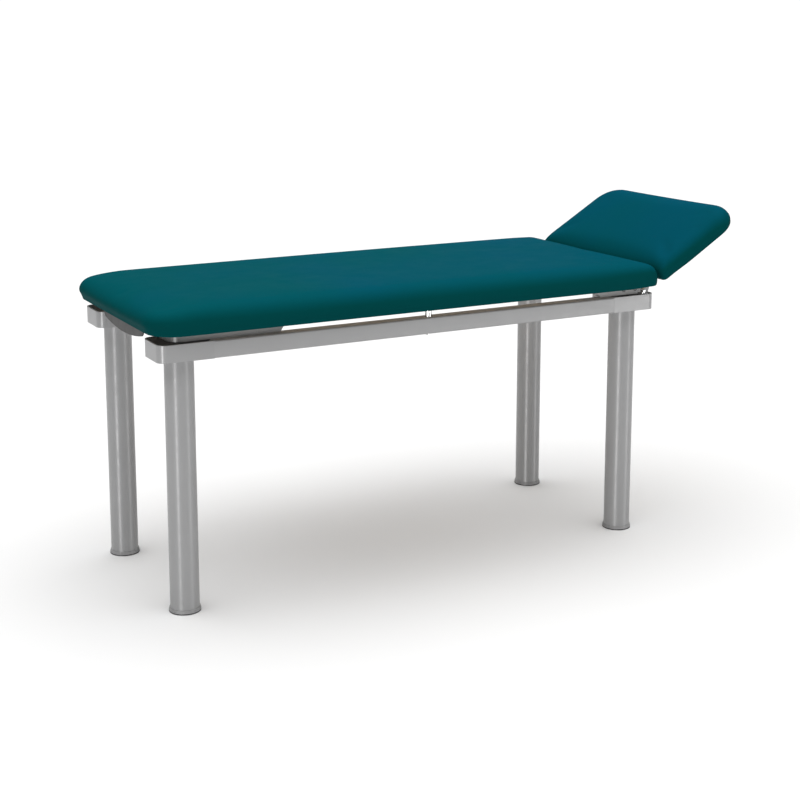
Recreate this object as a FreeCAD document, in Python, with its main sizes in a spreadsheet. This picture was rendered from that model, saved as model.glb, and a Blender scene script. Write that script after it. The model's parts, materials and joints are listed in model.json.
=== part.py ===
import FreeCAD, Part
import math
import os
import re
import Sketcher

# Examination couch with four round legs, a tubular frame, a padded top and a
# headrest that tilts on two ratchet hinges.  Millimetres.  +X points to the head
# end, +Y to the rear side, +Z up.  The origin is on the floor, under the middle of
# the couch's overall box.  Expressions below give places in the legs' own frame;
# legs_x moves them all so that the overall box is centred.

V = FreeCAD.Vector
DOC = FreeCAD.newDocument("examination_couch")
SHEET = DOC.addObject("Spreadsheet::Sheet", "sheet")

DIMENSIONS = {
    # placing of the legs' centre in the row frame
    "legs_x": -147,
    # legs and feet
    "leg_span_x": 1370,
    "leg_span_y": 490,
    "leg_radius": 38,
    "leg_wall": 2,
    "foot_height": 11,
    "foot_ring_height": 6,
    "foot_radius": 41.5,
    "foot_upper_radius": 40,
    "foot_stem_radius": 5,
    "foot_stem_length": 36,
    "plug_height": 25,
    "insert_height": 20,
    # frame
    "rail_bottom": 670,
    "rail_height": 45,
    "rail_width": 40,
    "rail_wall": 2,
    "rail_edge_radius": 4,
    "block_length": 146,
    "block_width": 124,
    "block_corner": 24,
    "block_wall": 4,
    "block_floor": 6,
    "lid_thickness": 3,
    "sheet_wall": 3,
    "saddle_height": 27,
    "saddle_half_width": 283,
    "flange_width": 25,
    # foot saddle, places along X
    "foot_saddle_low": -720,
    "foot_saddle_high": -405,
    "foot_saddle_corner": 35,
    "saddle_slant": 17,
    "apron_x": -748,
    "apron_half_width": 162,
    "apron_depth": 47,
    "bead_x": -486,
    "bead_radius": 1.5,
    # head saddle, places along X
    "head_saddle_low": 552,
    "head_saddle_high": 757,
    "head_saddle_slant": 28,
    "head_web_end": 640,
    "tab_x": 724,
    "tab_width": 24,
    "tab_reach": 20,
    # spacers half way along the rails
    "spacer_x": 10,
    "spacer_radius": 9,
    # fasteners
    "bolt_radius": 4,
    "bolt_clearance": 0.05,
    "bolt_flats": 13,
    "bolt_head": 5.3,
    "leg_bolt_radius": 5,
    "leg_bolt_flats": 17,
    "leg_bolt_head": 6.4,
    "tee_flange_radius": 11,
    "tee_flange": 1.5,
    "tee_barrel_radius": 5.5,
    "washer_radius": 8,
    "washer_thickness": 1.6,
    "cap_nut_height": 6.5,
    "cap_dome_radius": 6.2,
    "screw_radius": 2.5,
    "screw_head_radius": 5.5,
    "screw_head": 3,
    "hinge_screw_radius": 3,
    "hinge_screw_head_radius": 5,
    # pads
    "skin": 1,
    "board_thickness": 18,
    "board_inset": 6,
    "pad_height": 64,
    "pad_width": 670,
    "main_foot_end": -775,
    "main_head_end": 762,
    "main_foot_corner": 75,
    "main_head_corner": 40,
    "pad_edge_radius": 28,
    "hem_width": 18,
    "rest_height": 52,
    "rest_width": 632,
    "rest_length": 330,
    "rest_start": 20,
    "rest_hinge_corner": 14,
    "rest_head_corner": 90,
    # headrest mechanism
    "pivot_x": 773.5,
    "pivot_z": 733,
    "rest_angle": 31,
    "tooth_pitch": 7.75,
    "hinge_y": 150,
    "pin_radius": 4,
    "pin_clearance": 0.05,
    "pin_head_radius": 6.5,
    "pin_head": 2,
    "eye_radius": 9,
    "eye_width": 24,
    "ear_gap": 28,
    "ear_thickness": 4,
    "sector_radius": 16,
    "arm_length": 165,
    "arm_flange_width": 30,
    "arm_web": 5,
    "pawl_x": 753,
    "pawl_z": 717,
    "pawl_eye": 4.5,
    "pawl_pin_radius": 2.5,
    "pawl_ear_radius": 6,
    "crossbar_low": 650,
    "crossbar_width": 80,
    "crossbar_height": 20,
    "crossbar_bottom": 719,
}

for row, (alias, number) in enumerate(DIMENSIONS.items(), 1):
    SHEET.set("A%d" % row, alias)
    SHEET.set("B%d" % row, str(number))
    SHEET.setAlias("B%d" % row, alias)
DOC.recompute()

ENDS = (("foot", -1), ("head", 1))
SIDES = (("front", -1), ("rear", 1))
NODES = []


# ---------------------------------------------------------------- helpers

def ref(text):
    """An expression in which each dimension's name points at its cell."""
    return re.sub(r"[a-z][a-z_0-9]*", lambda word: named_cell(word.group()), str(text))


def named_cell(word):
    return "sheet." + word if word in DIMENSIONS else word


def value(text):
    """The number that an expression gives now."""
    return float(SHEET.evalExpression(ref(text).replace("sheet.", "")))


def bind(thing, **properties):
    for name, text in properties.items():
        thing.setExpression(name.replace("__", "."), ref(text))


def place(thing, x=0, y=0, z=0):
    bind(thing, Placement__Base__x="legs_x + (%s)" % x, Placement__Base__y=y, Placement__Base__z=z)
    return thing


def node(thing, label):
    """Marks an object as one finished sub-part."""
    thing.Label = label
    NODES.append(thing)
    return thing


def box(name, x, y, z):
    """A box from its low and high expression on each axis."""
    made = DOC.addObject("Part::Box", name)
    bind(made, Length="(%s) - (%s)" % (x[1], x[0]), Width="(%s) - (%s)" % (y[1], y[0]),
         Height="(%s) - (%s)" % (z[1], z[0]))
    return place(made, x[0], y[0], z[0])


def cylinder(name, radius, x, y, z, length, axis="z"):
    """A cylinder from the centre of its low end, along one axis."""
    made = DOC.addObject("Part::Cylinder", name)
    bind(made, Radius=radius, Height=length)
    turns = {"z": FreeCAD.Rotation(), "x": FreeCAD.Rotation(V(0, 1, 0), 90),
             "y": FreeCAD.Rotation(V(1, 0, 0), -90)}
    made.Placement = FreeCAD.Placement(V(0, 0, 0), turns[axis])
    return place(made, x, y, z)


def hexagon(name, across_flats, x, y, z, height):
    made = DOC.addObject("Part::Prism", name)
    made.Polygon = 6
    bind(made, Circumradius="(%s) / sqrt(3)" % across_flats, Height=height)
    return place(made, x, y, z)


def fuse(name, things):
    made = DOC.addObject("Part::MultiFuse", name)
    made.Shapes = things
    made.Refine = True
    return made


def cut(name, base, tools):
    made = DOC.addObject("Part::Cut", name)
    made.Base = base
    made.Tool = tools[0] if len(tools) == 1 else fuse(name + "_tools", tools)
    made.Refine = True
    return made


def common(name, first, second):
    made = DOC.addObject("Part::Common", name)
    made.Base = first
    made.Tool = second
    return made


def group(name, things):
    made = DOC.addObject("Part::Compound", name)
    made.Links = things
    return made


def new_sketch(body, name, plane):
    sketch = body.newObject("Sketcher::SketchObject", name)
    origin_plane = [f for f in body.Origin.OriginFeatures if f.Role == plane][0]
    sketch.AttachmentSupport = [(origin_plane, "")]
    sketch.MapMode = "FlatFace"
    return sketch


def size_constraint(sketch, name, constraint, text):
    index = sketch.addConstraint(constraint)
    sketch.renameConstraint(index, name)
    sketch.setExpression("Constraints." + name, ref(text))


def rectangle(sketch, wide, deep):
    """A rectangle centred on the sketch's origin."""
    half_w = value(wide) / 2
    half_d = value(deep) / 2
    corners = [V(-half_w, -half_d, 0), V(half_w, -half_d, 0), V(half_w, half_d, 0), V(-half_w, half_d, 0)]
    first = sketch.GeometryCount
    for start, end in zip(corners, corners[1:] + corners[:1]):
        sketch.addGeometry(Part.LineSegment(start, end), False)
    for side in range(4):
        after = first + (side + 1) % 4
        sketch.addConstraint(Sketcher.Constraint("Coincident", first + side, 2, after, 1))
        way = "Horizontal" if side % 2 == 0 else "Vertical"
        sketch.addConstraint(Sketcher.Constraint(way, first + side))
    sketch.addConstraint(Sketcher.Constraint("Symmetric", first, 1, first + 1, 2, -1, 1))
    size_constraint(sketch, "wide%d" % first,
                    Sketcher.Constraint("DistanceX", first, 1, first, 2, 2 * half_w), wide)
    size_constraint(sketch, "deep%d" % first,
                    Sketcher.Constraint("DistanceY", first + 1, 1, first + 1, 2, 2 * half_d), deep)


def circle(sketch, radius):
    """A circle on the sketch's origin."""
    index = sketch.addGeometry(Part.Circle(V(0, 0, 0), V(0, 0, 1), value(radius)), False)
    sketch.addConstraint(Sketcher.Constraint("Coincident", index, 3, -1, 1))
    size_constraint(sketch, "radius%d" % index, Sketcher.Constraint("Radius", index, value(radius)), radius)


def edges_where(feature, test):
    """The names of the edges whose two ends both pass the test."""
    found = []
    for number, edge in enumerate(feature.Shape.Edges, 1):
        if all(test(vertex.Point) for vertex in edge.Vertexes) and len(edge.Vertexes) == 2:
            found.append("Edge%d" % number)
    return found


def upright_edges(feature, side):
    """Vertical edges on the low (-1) or high (+1) X side, or on both (0)."""
    names = []
    for number, edge in enumerate(feature.Shape.Edges, 1):
        first, last = edge.Vertexes[0].Point, edge.Vertexes[-1].Point
        upright = abs(first.x - last.x) < 0.01 and abs(first.y - last.y) < 0.01 and len(edge.Vertexes) == 2
        if upright and first.x * side >= 0:
            names.append("Edge%d" % number)
    return names


def round_edges(body, base, names, radius, name):
    fillet = body.newObject("PartDesign::Fillet", name)
    fillet.Base = (base, names)
    bind(fillet, Radius=radius)
    DOC.recompute()
    return fillet


def padded_plate(name, wide, deep, high):
    """A PartDesign body with one rectangular pad standing on its own origin."""
    body = DOC.addObject("PartDesign::Body", name)
    sketch = new_sketch(body, name + "_outline", "XY_Plane")
    rectangle(sketch, wide, deep)
    pad = body.newObject("PartDesign::Pad", name + "_pad")
    pad.Profile = sketch
    bind(pad, Length=high)
    sketch.Visibility = False
    DOC.recompute()
    return body, pad


def through_pocket(body, name, draw, plane):
    """A pocket right through a body, whose sketch is drawn by a function."""
    sketch = new_sketch(body, name + "_sketch", plane)
    draw(sketch)
    before = body.Tip.Shape.Volume
    made = body.newObject("PartDesign::Pocket", name)
    made.Profile = sketch
    made.Type = "ThroughAll"
    made.Midplane = True
    sketch.Visibility = False
    DOC.recompute()
    if made.Shape.Volume > before - 1:
        raise RuntimeError(name + " cuts nothing")


# ---------------------------------------------------------------- legs and feet

def leg(end, side, x, y):
    body = DOC.addObject("PartDesign::Body", "leg_%s_%s" % (end, side))
    sketch = new_sketch(body, "leg_ring_%s_%s" % (end, side), "XY_Plane")
    circle(sketch, "leg_radius")
    circle(sketch, "leg_radius - leg_wall")
    pad = body.newObject("PartDesign::Pad", "leg_tube_%s_%s" % (end, side))
    pad.Profile = sketch
    bind(pad, Length="rail_bottom - foot_height")
    node(place(body, x, y, "foot_height"), "leg_%s_%s" % (end, side))


def leg_fittings(end, side, x, y):
    """The threaded insert in the leg's top and the threaded plug in its lower end."""
    tag = "%s_%s" % (end, side)
    slip = "leg_radius - leg_wall - 0.1"
    for label, low, high, hole in (
            ("leg_insert", "rail_bottom - insert_height", "insert_height", "leg_bolt_radius + bolt_clearance"),
            ("foot_plug", "foot_height", "plug_height", "foot_stem_radius + 0.06")):
        disc = cylinder(label + "_disc_" + tag, slip, x, y, low, high)
        thread = cylinder(label + "_thread_" + tag, hole, x, y, low, high)
        node(cut(label + "_" + tag, disc, [thread]), label + "_" + tag)


def levelling_foot(end, side, x, y):
    """A two-step disc on a threaded stem."""
    tag = "%s_%s" % (end, side)
    ring = cylinder("foot_ring_" + tag, "foot_radius", x, y, 0, "foot_ring_height")
    step = cylinder("foot_step_" + tag, "foot_upper_radius", x, y, "foot_ring_height",
                    "foot_height - foot_ring_height")
    stem = cylinder("foot_stem_" + tag, "foot_stem_radius", x, y, "foot_height", "foot_stem_length")
    node(fuse("levelling_foot_" + tag, [ring, step, stem]), "levelling_foot_" + tag)


# ---------------------------------------------------------------- frame

def corners_off_the_rail(feature, end_sign, side_sign):
    """The upright edges of a block, apart from the square one where the rail meets it."""
    names = []
    for name in upright_edges(feature, 0):
        point = feature.Shape.getElement(name).Vertexes[0].Point
        if point.x * end_sign > 0 or point.y * side_sign < 0:
            names.append(name)
    return names


def corner_block(end, side, x, y, end_sign, side_sign):
    """An open-topped cast cup over each leg, with a boss for the saddle's bolt."""
    tag = "%s_%s" % (end, side)
    body, pad = padded_plate("block_body_" + tag, "block_length", "block_width", "rail_height")
    round_edges(body, pad, corners_off_the_rail(pad, end_sign, side_sign), "block_corner",
                "block_round_" + tag)
    place(body, x, y, "rail_bottom")
    cavity, floor = padded_plate("block_cavity_" + tag, "block_length - 2 * block_wall",
                                 "block_width - 2 * block_wall", "rail_height")
    round_edges(cavity, floor, upright_edges(floor, 0), "block_corner - block_wall", "cavity_round_" + tag)
    place(cavity, x, y, "rail_bottom + block_floor")
    bolt_hole = cylinder("block_hole_" + tag, "leg_bolt_radius + bolt_clearance", x, y,
                         "rail_bottom - 1", "block_floor + 2")
    cup = cut("block_cup_" + tag, body, [cavity, bolt_hole])
    boss_x, boss_y = saddle_bolt_place(end, side_sign)
    boss = cylinder("block_boss_" + tag, "bolt_radius + 5", boss_x, boss_y, "rail_bottom + 1",
                    "rail_height - lid_thickness - 1")
    thread = cylinder("boss_thread_" + tag, "bolt_radius + bolt_clearance", boss_x, boss_y,
                      "rail_bottom + block_floor + 5", "rail_height")
    node(cut("corner_block_" + tag, fuse("block_with_boss_" + tag, [cup, boss]), [thread]),
         "corner_block_" + tag)


def saddle_bolt_place(end, side_sign):
    """Where a saddle bolts down into a corner block."""
    if end == "foot":
        return "foot_saddle_low + 38", "%d * (saddle_half_width - 13)" % side_sign
    return "tab_x", "%d * (saddle_half_width + 10)" % side_sign


def block_lid(end, side, x, y, side_sign):
    tag = "%s_%s" % (end, side)
    body, pad = padded_plate("lid_body_" + tag, "block_length - 2 * block_wall",
                             "block_width - 2 * block_wall", "lid_thickness")
    round_edges(body, pad, upright_edges(pad, 0), "block_corner - block_wall", "lid_round_" + tag)
    place(body, x, y, "rail_bottom + rail_height - lid_thickness")
    hole_x, hole_y = saddle_bolt_place(end, side_sign)
    hole = cylinder("lid_hole_" + tag, "bolt_radius + bolt_clearance", hole_x, hole_y,
                    "rail_bottom + rail_height - lid_thickness - 1", "lid_thickness + 2")
    node(cut("block_lid_" + tag, body, [hole]), "block_lid_" + tag)


def rail(side, side_sign):
    """A rectangular tube between two corner blocks, drilled for the spacer's bolt."""
    body = DOC.addObject("PartDesign::Body", "rail_body_" + side)
    sketch = new_sketch(body, "rail_section_" + side, "YZ_Plane")
    rectangle(sketch, "rail_width", "rail_height")
    pad = body.newObject("PartDesign::Pad", "rail_length_" + side)
    pad.Profile = sketch
    pad.Midplane = True
    bind(pad, Length="leg_span_x - block_length")
    DOC.recompute()
    long_edges = [name for name in edges_where(pad, lambda point: True)
                  if abs(pad.Shape.getElement(name).Length - value("leg_span_x - block_length")) < 0.1]
    round_edges(body, pad, long_edges, "rail_edge_radius", "rail_round_" + side)
    through_pocket(body, "rail_bore_" + side,
                   lambda s: rectangle(s, "rail_width - 2 * rail_wall", "rail_height - 2 * rail_wall"),
                   "YZ_Plane")
    y = rail_centre(side_sign)
    place(body, 0, y, "rail_bottom + rail_height / 2")
    hole = cylinder("rail_hole_" + side, "bolt_radius + bolt_clearance", "spacer_x", y,
                    "rail_bottom - 1", "rail_height + 2")
    bolt_x, bolt_y = rail_bolt_place(side_sign)
    saddle_hole = cylinder("rail_saddle_hole_" + side, "bolt_radius + bolt_clearance", bolt_x, bolt_y,
                           "rail_bottom + rail_height / 2", "rail_height")
    node(cut(side + "_rail", body, [hole, saddle_hole]), side + "_rail")


def rail_centre(side_sign):
    return "%d * (leg_span_y / 2 + block_width / 2 - rail_width / 2)" % side_sign


def rail_bolt_place(side_sign):
    """Where the foot saddle bolts down on a rail."""
    return "foot_saddle_high - 50", "%d * (saddle_half_width - 13)" % side_sign


TOP = "rail_bottom + rail_height"
SEAT = TOP + " + saddle_height"
BOARD = SEAT + " + skin"


def spacer(side, side_sign):
    """A sleeve that carries the board half way along a rail."""
    y = rail_centre(side_sign)
    sleeve = cylinder("sleeve_" + side, "spacer_radius", "spacer_x", y, TOP, "saddle_height + skin")
    hole = cylinder("sleeve_hole_" + side, "bolt_radius + bolt_clearance", "spacer_x", y, TOP,
                    "saddle_height + skin")
    node(cut("mid_spacer_" + side, sleeve, [hole]), "mid_spacer_" + side)


def spacer_fasteners():
    """Long bolts from under the rails into tee nuts in the board."""
    bolts = []
    nuts = []
    for side, side_sign in SIDES:
        y = rail_centre(side_sign)
        head = hexagon("mid_head_" + side, "bolt_flats", "spacer_x", y, "rail_bottom - bolt_head",
                       "bolt_head")
        shank = cylinder("mid_shank_" + side, "bolt_radius", "spacer_x", y, "rail_bottom",
                         "rail_height + saddle_height + skin + board_thickness - 3")
        bolts.append(fuse("mid_bolt_" + side, [head, shank]))
        flange = cylinder("tee_flange_" + side, "tee_flange_radius", "spacer_x", y,
                          BOARD + " + board_thickness - tee_flange", "tee_flange")
        barrel = cylinder("tee_barrel_" + side, "tee_barrel_radius", "spacer_x", y, BOARD + " + 5",
                          "board_thickness - 5")
        bore = cylinder("tee_bore_" + side, "bolt_radius + bolt_clearance", "spacer_x", y, BOARD,
                        "board_thickness + 5")
        nuts.append(cut("tee_nut_" + side, fuse("tee_body_" + side, [flange, barrel]), [bore]))
    node(group("mid_bolts", bolts), "mid_bolts")
    node(group("board_tee_nuts", nuts), "board_tee_nuts")


def leg_bolts(corners):
    bolts = []
    for end, side, x, y in corners:
        tag = "%s_%s" % (end, side)
        head = hexagon("leg_bolt_head_" + tag, "leg_bolt_flats", x, y, "rail_bottom + block_floor",
                       "leg_bolt_head")
        shank = cylinder("leg_bolt_shank_" + tag, "leg_bolt_radius", x, y,
                         "rail_bottom - insert_height + 2", "insert_height + block_floor")
        bolts.append(fuse("leg_bolt_" + tag, [head, shank]))
    node(group("leg_bolts", bolts), "leg_bolts")


# ---------------------------------------------------------------- saddles

def slant_cutter(name, x, slant, sign):
    """A prism that cuts a saddle's open end, longer at the top than at the bottom."""
    made = DOC.addObject("Part::Wedge", name)
    reach = 40
    half_width = 400
    for prop, number in (("Xmin", 0), ("Xmax", reach), ("X2max", reach), ("Zmin", -half_width),
                         ("Zmax", half_width), ("Z2min", -half_width), ("Z2max", half_width)):
        setattr(made, prop, number)
    bind(made, Ymax="saddle_height", X2min=slant)
    turn = FreeCAD.Rotation(V(1, 0, 0), 90)
    if sign < 0:
        turn = FreeCAD.Rotation(V(0, 0, 1), 180).multiply(turn)
    made.Placement = FreeCAD.Placement(V(0, 0, 0), turn)
    return place(made, x, 0, TOP)


def side_flanges(tag, low, high):
    """Turned-in feet along both side walls."""
    flanges = []
    for side, side_sign in SIDES:
        inner, outer = sorted((side_sign * (value("saddle_half_width") - value("flange_width")),
                               side_sign * value("saddle_half_width")))
        flanges.append(box("flange_%s_%s" % (tag, side), (low, high), (inner, outer),
                           (TOP, TOP + " + sheet_wall")))
    return flanges


def drill(prefix, places, radius, low, high):
    return [cylinder("%s_%d" % (prefix, i), radius, x, y, low, "(%s) - (%s)" % (high, low))
            for i, (x, y) in enumerate(places)]


def foot_board_screws():
    return [(x, y) for x in ("foot_saddle_low + 30", "foot_saddle_high - 30") for y in (-230, 230)]


def head_board_screws():
    return [("head_saddle_low + 25", -230), ("head_saddle_low + 25", 230),
            ("head_saddle_high - 18", -268), ("head_saddle_high - 18", 268)]


def foot_saddle():
    """A folded tray that stands on the rails, with a bowed apron between the legs."""
    long = "foot_saddle_high - foot_saddle_low"
    outer, pad = padded_plate("foot_tray", long, "2 * saddle_half_width", "saddle_height")
    round_edges(outer, pad, upright_edges(pad, -1), "foot_saddle_corner", "foot_tray_round")
    place(outer, "(foot_saddle_low + foot_saddle_high) / 2", 0, TOP)
    hollow, core = padded_plate("foot_hollow", long, "2 * saddle_half_width - 2 * sheet_wall",
                                "saddle_height - sheet_wall")
    round_edges(hollow, core, upright_edges(core, -1), "foot_saddle_corner - sheet_wall", "foot_hollow_round")
    place(hollow, "(foot_saddle_low + foot_saddle_high) / 2 + sheet_wall", 0, TOP)
    tray = cut("foot_tray_hollowed", outer, [hollow])
    flanges = side_flanges("foot", "foot_saddle_low + foot_saddle_corner", "foot_saddle_high")
    tongue = box("foot_tongue", ("apron_x", "foot_saddle_low + 2"), ("-apron_half_width", "apron_half_width"),
                 (SEAT + " - sheet_wall", SEAT))
    beads = [cylinder("foot_bead_" + side, "bead_radius", "bead_x", "%d * saddle_half_width" % side_sign, TOP,
                      "saddle_height") for side, side_sign in SIDES]
    whole = fuse("foot_saddle_whole", [tray, tongue, apron()] + flanges + beads)
    bolts = [saddle_bolt_place("foot", s) for _, s in SIDES] + [rail_bolt_place(s) for _, s in SIDES]
    holes = drill("foot_bolt_hole", bolts, "bolt_radius + bolt_clearance", TOP + " - 1", TOP + " + 5")
    holes += drill("foot_screw_hole", foot_board_screws(), "screw_radius + bolt_clearance",
                   SEAT + " - 6", SEAT + " + 1")
    holes.append(slant_cutter("foot_slant", "foot_saddle_high - saddle_slant", "saddle_slant", 1))
    node(cut("foot_saddle", whole, holes), "foot_saddle")


def apron():
    """A hanging plate whose lower edge is one arc with rounded ends."""
    body = DOC.addObject("PartDesign::Body", "apron_body")
    sketch = new_sketch(body, "apron_outline", "YZ_Plane")
    half = value("apron_half_width")
    deep = value("apron_depth")
    ends = deep * 0.62
    lower = Part.Arc(V(-half, -ends, 0), V(0, -deep, 0), V(half, -ends, 0))
    sketch.addGeometry([Part.LineSegment(V(half, 0, 0), V(-half, 0, 0)),
                        Part.LineSegment(V(-half, 0, 0), V(-half, -ends, 0)), lower,
                        Part.LineSegment(V(half, -ends, 0), V(half, 0, 0))], False)
    pad = body.newObject("PartDesign::Pad", "apron_plate")
    pad.Profile = sketch
    bind(pad, Length="sheet_wall")
    DOC.recompute()
    lower_ends = edges_where(pad, lambda point: abs(point.z + ends) < 0.1)
    lower_ends = [name for name in lower_ends if abs(pad.Shape.getElement(name).Length - 3) < 0.1]
    round_edges(body, pad, lower_ends, "apron_depth * 0.4", "apron_round")
    return place(body, "apron_x", 0, SEAT)


def head_saddle():
    """A folded bridge, open towards the headrest, that carries the hinge crossbar."""
    wall = "saddle_half_width - sheet_wall"
    outer = box("head_outer", ("head_saddle_low", "head_saddle_high"),
                ("-saddle_half_width", "saddle_half_width"), (TOP, SEAT))
    hollow = box("head_hollow", ("head_saddle_low - 1", "head_saddle_high + 1"), ("-(%s)" % wall, wall),
                 (TOP + " - 1", SEAT + " - sheet_wall"))
    opening = box("head_opening", ("head_web_end", "head_saddle_high + 1"),
                  ("flange_width - saddle_half_width", "saddle_half_width - flange_width"),
                  (SEAT + " - sheet_wall - 1", SEAT + " + 1"))
    bridge = cut("head_bridge", outer, [hollow, opening])
    flanges = side_flanges("head", "head_saddle_low + head_saddle_slant", "head_saddle_high - 8")
    tabs = []
    for side, side_sign in SIDES:
        low, high = sorted((side_sign * (value("saddle_half_width") - 2),
                            side_sign * value("saddle_half_width + tab_reach")))
        tabs.append(box("head_tab_" + side, ("tab_x - tab_width / 2", "tab_x + tab_width / 2"), (low, high),
                        (TOP, TOP + " + sheet_wall")))
    whole = fuse("head_saddle_whole", [bridge] + flanges + tabs)
    bolts = [saddle_bolt_place("head", s) for _, s in SIDES]
    holes = drill("head_bolt_hole", bolts, "bolt_radius + bolt_clearance", TOP + " - 1", TOP + " + 5")
    holes += drill("head_screw_hole", head_board_screws(), "screw_radius + bolt_clearance",
                   SEAT + " - 6", SEAT + " + 1")
    holes += [cylinder("head_side_hole_%d" % i, HINGE_SCREW_HOLE, x, "-saddle_half_width - 1", SIDE_SCREW_Z,
                       "2 * saddle_half_width + 2", "y") for i, x in enumerate(SIDE_SCREW_X)]
    holes.append(slant_cutter("head_slant", "head_saddle_low + head_saddle_slant", "head_saddle_slant", -1))
    holes.append(slant_cutter("head_nose", "head_saddle_high - 8", "8", 1))
    node(cut("head_saddle", whole, holes), "head_saddle")


SIDE_SCREW_X = ("crossbar_low + 11", "crossbar_low + 52")
SIDE_SCREW_Z = "crossbar_bottom + crossbar_height / 2"
HINGE_SCREW_HOLE = "hinge_screw_radius + bolt_clearance"


def saddle_fasteners():
    """Hex bolts on the foot saddle's flanges and domed nuts on the head saddle's tabs."""
    bolts = []
    places = [saddle_bolt_place("foot", s) for _, s in SIDES] + [rail_bolt_place(s) for _, s in SIDES]
    for i, (x, y) in enumerate(places):
        head = hexagon("saddle_head_%d" % i, "bolt_flats", x, y, TOP + " + sheet_wall", "bolt_head")
        shank = cylinder("saddle_shank_%d" % i, "bolt_radius", x, y, TOP + " - 20", "20 + sheet_wall")
        bolts.append(fuse("saddle_bolt_%d" % i, [head, shank]))
    node(group("saddle_bolts", bolts), "saddle_bolts")
    nuts = []
    for side, side_sign in SIDES:
        x, y = saddle_bolt_place("head", side_sign)
        washer_top = TOP + " + sheet_wall + washer_thickness"
        washer = cylinder("cap_washer_" + side, "washer_radius", x, y, TOP + " + sheet_wall",
                          "washer_thickness")
        nut = hexagon("cap_hex_" + side, "bolt_flats", x, y, washer_top, "cap_nut_height")
        dome = DOC.addObject("Part::Sphere", "cap_dome_" + side)
        bind(dome, Radius="cap_dome_radius")
        dome.Angle1 = 0
        place(dome, x, y, washer_top + " + cap_nut_height")
        stud = cylinder("cap_stud_" + side, "bolt_radius", x, y, TOP + " - 20", "20 + sheet_wall + 4")
        nuts.append(fuse("cap_nut_" + side, [washer, nut, dome, stud]))
    node(group("saddle_cap_nuts", nuts), "saddle_cap_nuts")


def pan_screws(label, places, seat, length):
    """Pan-head wood screws driven up into a board from a seat face."""
    screws = []
    for i, (x, y) in enumerate(places):
        head = cylinder("%s_head_%d" % (label, i), "screw_head_radius", x, y, "(%s) - screw_head" % seat,
                        "screw_head")
        shank = cylinder("%s_shank_%d" % (label, i), "screw_radius", x, y, seat, length)
        screws.append(fuse("%s_%d" % (label, i), [head, shank]))
    return group(label, screws)


# ---------------------------------------------------------------- pads

def rounded_plate(name, span, width, high, corners, inset):
    """A plate with its own radius at the corners of each end, shrunk by an inset all round."""
    low_x, high_x = span
    body, pad = padded_plate(name, "(%s) - (%s) - 2 * (%s)" % (high_x, low_x, inset),
                             "%s - 2 * (%s)" % (width, inset), high)
    foot_side = round_edges(body, pad, upright_edges(pad, -1), "%s - %s" % (corners[0], inset), name + "_foot")
    far = max(vertex.Point.x for vertex in foot_side.Shape.Vertexes)
    head_names = [edge for edge in upright_edges(foot_side, 1)
                  if abs(foot_side.Shape.getElement(edge).Vertexes[0].Point.x - far) < 0.01]
    head_side = round_edges(body, foot_side, head_names, "%s - %s" % (corners[1], inset), name + "_head")
    return body, head_side


def pad_block(name, span, width, height, corners, inset):
    """A rounded plate whose top edge is rounded too, shrunk by an inset on every face."""
    high = "%s - 2 * (%s)" % (height, inset)
    body, plate = rounded_plate(name, span, width, high, corners, inset)
    top_names = edges_where(plate, lambda point: abs(point.z - value(high)) < 0.01)
    round_edges(body, plate, top_names, "pad_edge_radius - %s" % inset, name + "_top")
    return place(body, "((%s) + (%s)) / 2" % span, 0, "%s + %s" % (SEAT, inset))


def upholstery(prefix, span, width, height, corners, screws, nuts=()):
    """Board, foam and cover of one pad, with the cover's hem at SEAT and the board at BOARD.
    The foam laps over the board's edges and the cover wraps both."""
    inner = pad_block(prefix + "_inner", span, width, height, corners, "skin")
    plate = rounded_plate(prefix + "_plate", span, width, "board_thickness", corners, "board_inset")[0]
    place(plate, "((%s) + (%s)) / 2" % span, 0, BOARD)
    holes = drill(prefix + "_board_hole", screws, "screw_radius + bolt_clearance", BOARD + " - 1",
                  BOARD + " + 14")
    board = cut(prefix + "_board_cut", plate, holes + list(nuts))
    foam = cut(prefix + "_foam_cut", inner, [plate])
    outer = pad_block(prefix + "_outer", span, width, height, corners, "0")
    window = box(prefix + "_window", ("%s + hem_width" % span[0], "%s - hem_width" % span[1]),
                 ("hem_width - %s / 2" % width, "%s / 2 - hem_width" % width),
                 (SEAT + " - 1", BOARD))
    cover = cut(prefix + "_cover_cut", outer, [inner, window])
    return (node(board, prefix + "_board"), node(foam, prefix + "_foam"), node(cover, prefix + "_cover"))


def tee_nut_holes():
    """Space in the main board for the tee nuts and the bolts below them."""
    holes = []
    for side, side_sign in SIDES:
        y = rail_centre(side_sign)
        holes.append(cylinder("tee_hole_" + side, "tee_barrel_radius + bolt_clearance", "spacer_x", y,
                              BOARD + " - 1", "board_thickness + 1"))
        holes.append(cylinder("tee_seat_" + side, "tee_flange_radius + bolt_clearance", "spacer_x", y,
                              BOARD + " + board_thickness - tee_flange", "2 * tee_flange"))
    return holes


# ---------------------------------------------------------------- headrest mechanism

def tilt(thing):
    """Turns a piece built flat up to the rest angle about the hinge pins."""
    pivot = V(value("legs_x + pivot_x"), 0, value("pivot_z"))
    turn = FreeCAD.Rotation(V(0, 1, 0), -value("rest_angle"))
    thing.Placement = FreeCAD.Placement(pivot - turn.multVec(pivot), turn)
    return thing


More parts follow.
